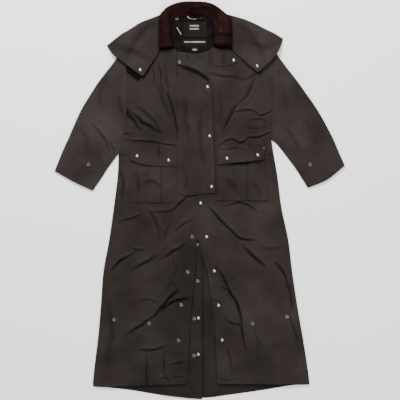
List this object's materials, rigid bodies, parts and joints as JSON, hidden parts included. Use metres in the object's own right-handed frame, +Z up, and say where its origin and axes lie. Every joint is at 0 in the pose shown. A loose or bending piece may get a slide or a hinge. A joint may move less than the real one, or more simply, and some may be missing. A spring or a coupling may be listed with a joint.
{
  "type": "duster coat",
  "caption": "Full-length waxed cotton coat with a shoulder cape, a corduroy collar and flapped pockets, laid flat with its front up.",
  "frame": {"origin": "centre of the coat's footprint, on the surface that it lies on", "axes": "+Y from the hem towards the collar, +X to the right seen from above, +Z up off the surface"},
  "size_m": [0.958, 1.3121, 0.0325],
  "materials": {
    "waxed_cotton": "waxed, soft sheen",
    "corduroy": "fine ribbed pile, matte",
    "lining": "smooth satin",
    "woven_label": "plain woven tape",
    "nickel": "polished, slightly worn"
  },
  "bodies": {
    "root": {"back_left": "waxed_cotton", "back_right": "waxed_cotton", "cape_back": "waxed_cotton", "cape_front_left": "waxed_cotton", "cape_front_right": "waxed_cotton", "collar": "corduroy", "eyelet_pocket_right": "nickel", "fly": "waxed_cotton", "front_left": "waxed_cotton", "front_right": "waxed_cotton", "hanger_chain": "nickel", "neck_bar": "nickel", "neck_label": "woven_label", "neck_lining": "lining", "pocket_flap_left": "waxed_cotton", "pocket_flap_right": "waxed_cotton", "pocket_left": "waxed_cotton", "pocket_right": "waxed_cotton", "size_tab": "woven_label", "sleeve_left": "waxed_cotton", "sleeve_right": "waxed_cotton", "snap_cape_left": "nickel", "snap_cape_right": "nickel", "snap_fly_1": "nickel", "snap_fly_2": "nickel", "snap_fly_3": "nickel", "snap_front": "nickel", "snap_pocket_left_1": "nickel", "snap_pocket_left_2": "nickel", "snap_pocket_right_1": "nickel", "snap_pocket_right_2": "nickel", "snap_row_right_1": "nickel", "snap_row_right_2": "nickel", "snap_row_right_3": "nickel", "snap_row_right_4": "nickel", "snap_throat": "nickel", "snap_vent_3": "nickel", "snap_vent_4": "nickel", "strip_label": "woven_label", "stud_collar": "nickel", "stud_neck": "nickel", "stud_row_left_1": "nickel", "stud_row_left_2": "nickel", "stud_row_left_3": "nickel", "stud_row_left_4": "nickel", "stud_skirt_left_1": "nickel", "stud_skirt_left_2": "nickel", "stud_skirt_right_1": "nickel", "stud_skirt_right_2": "nickel", "stud_sleeve_left": "nickel", "stud_sleeve_right": "nickel", "stud_vent_1": "nickel", "stud_vent_2": "nickel", "stud_vent_3": "nickel", "stud_vent_4": "nickel", "throat_tab": "waxed_cotton"}
  },
  "joints": []
}
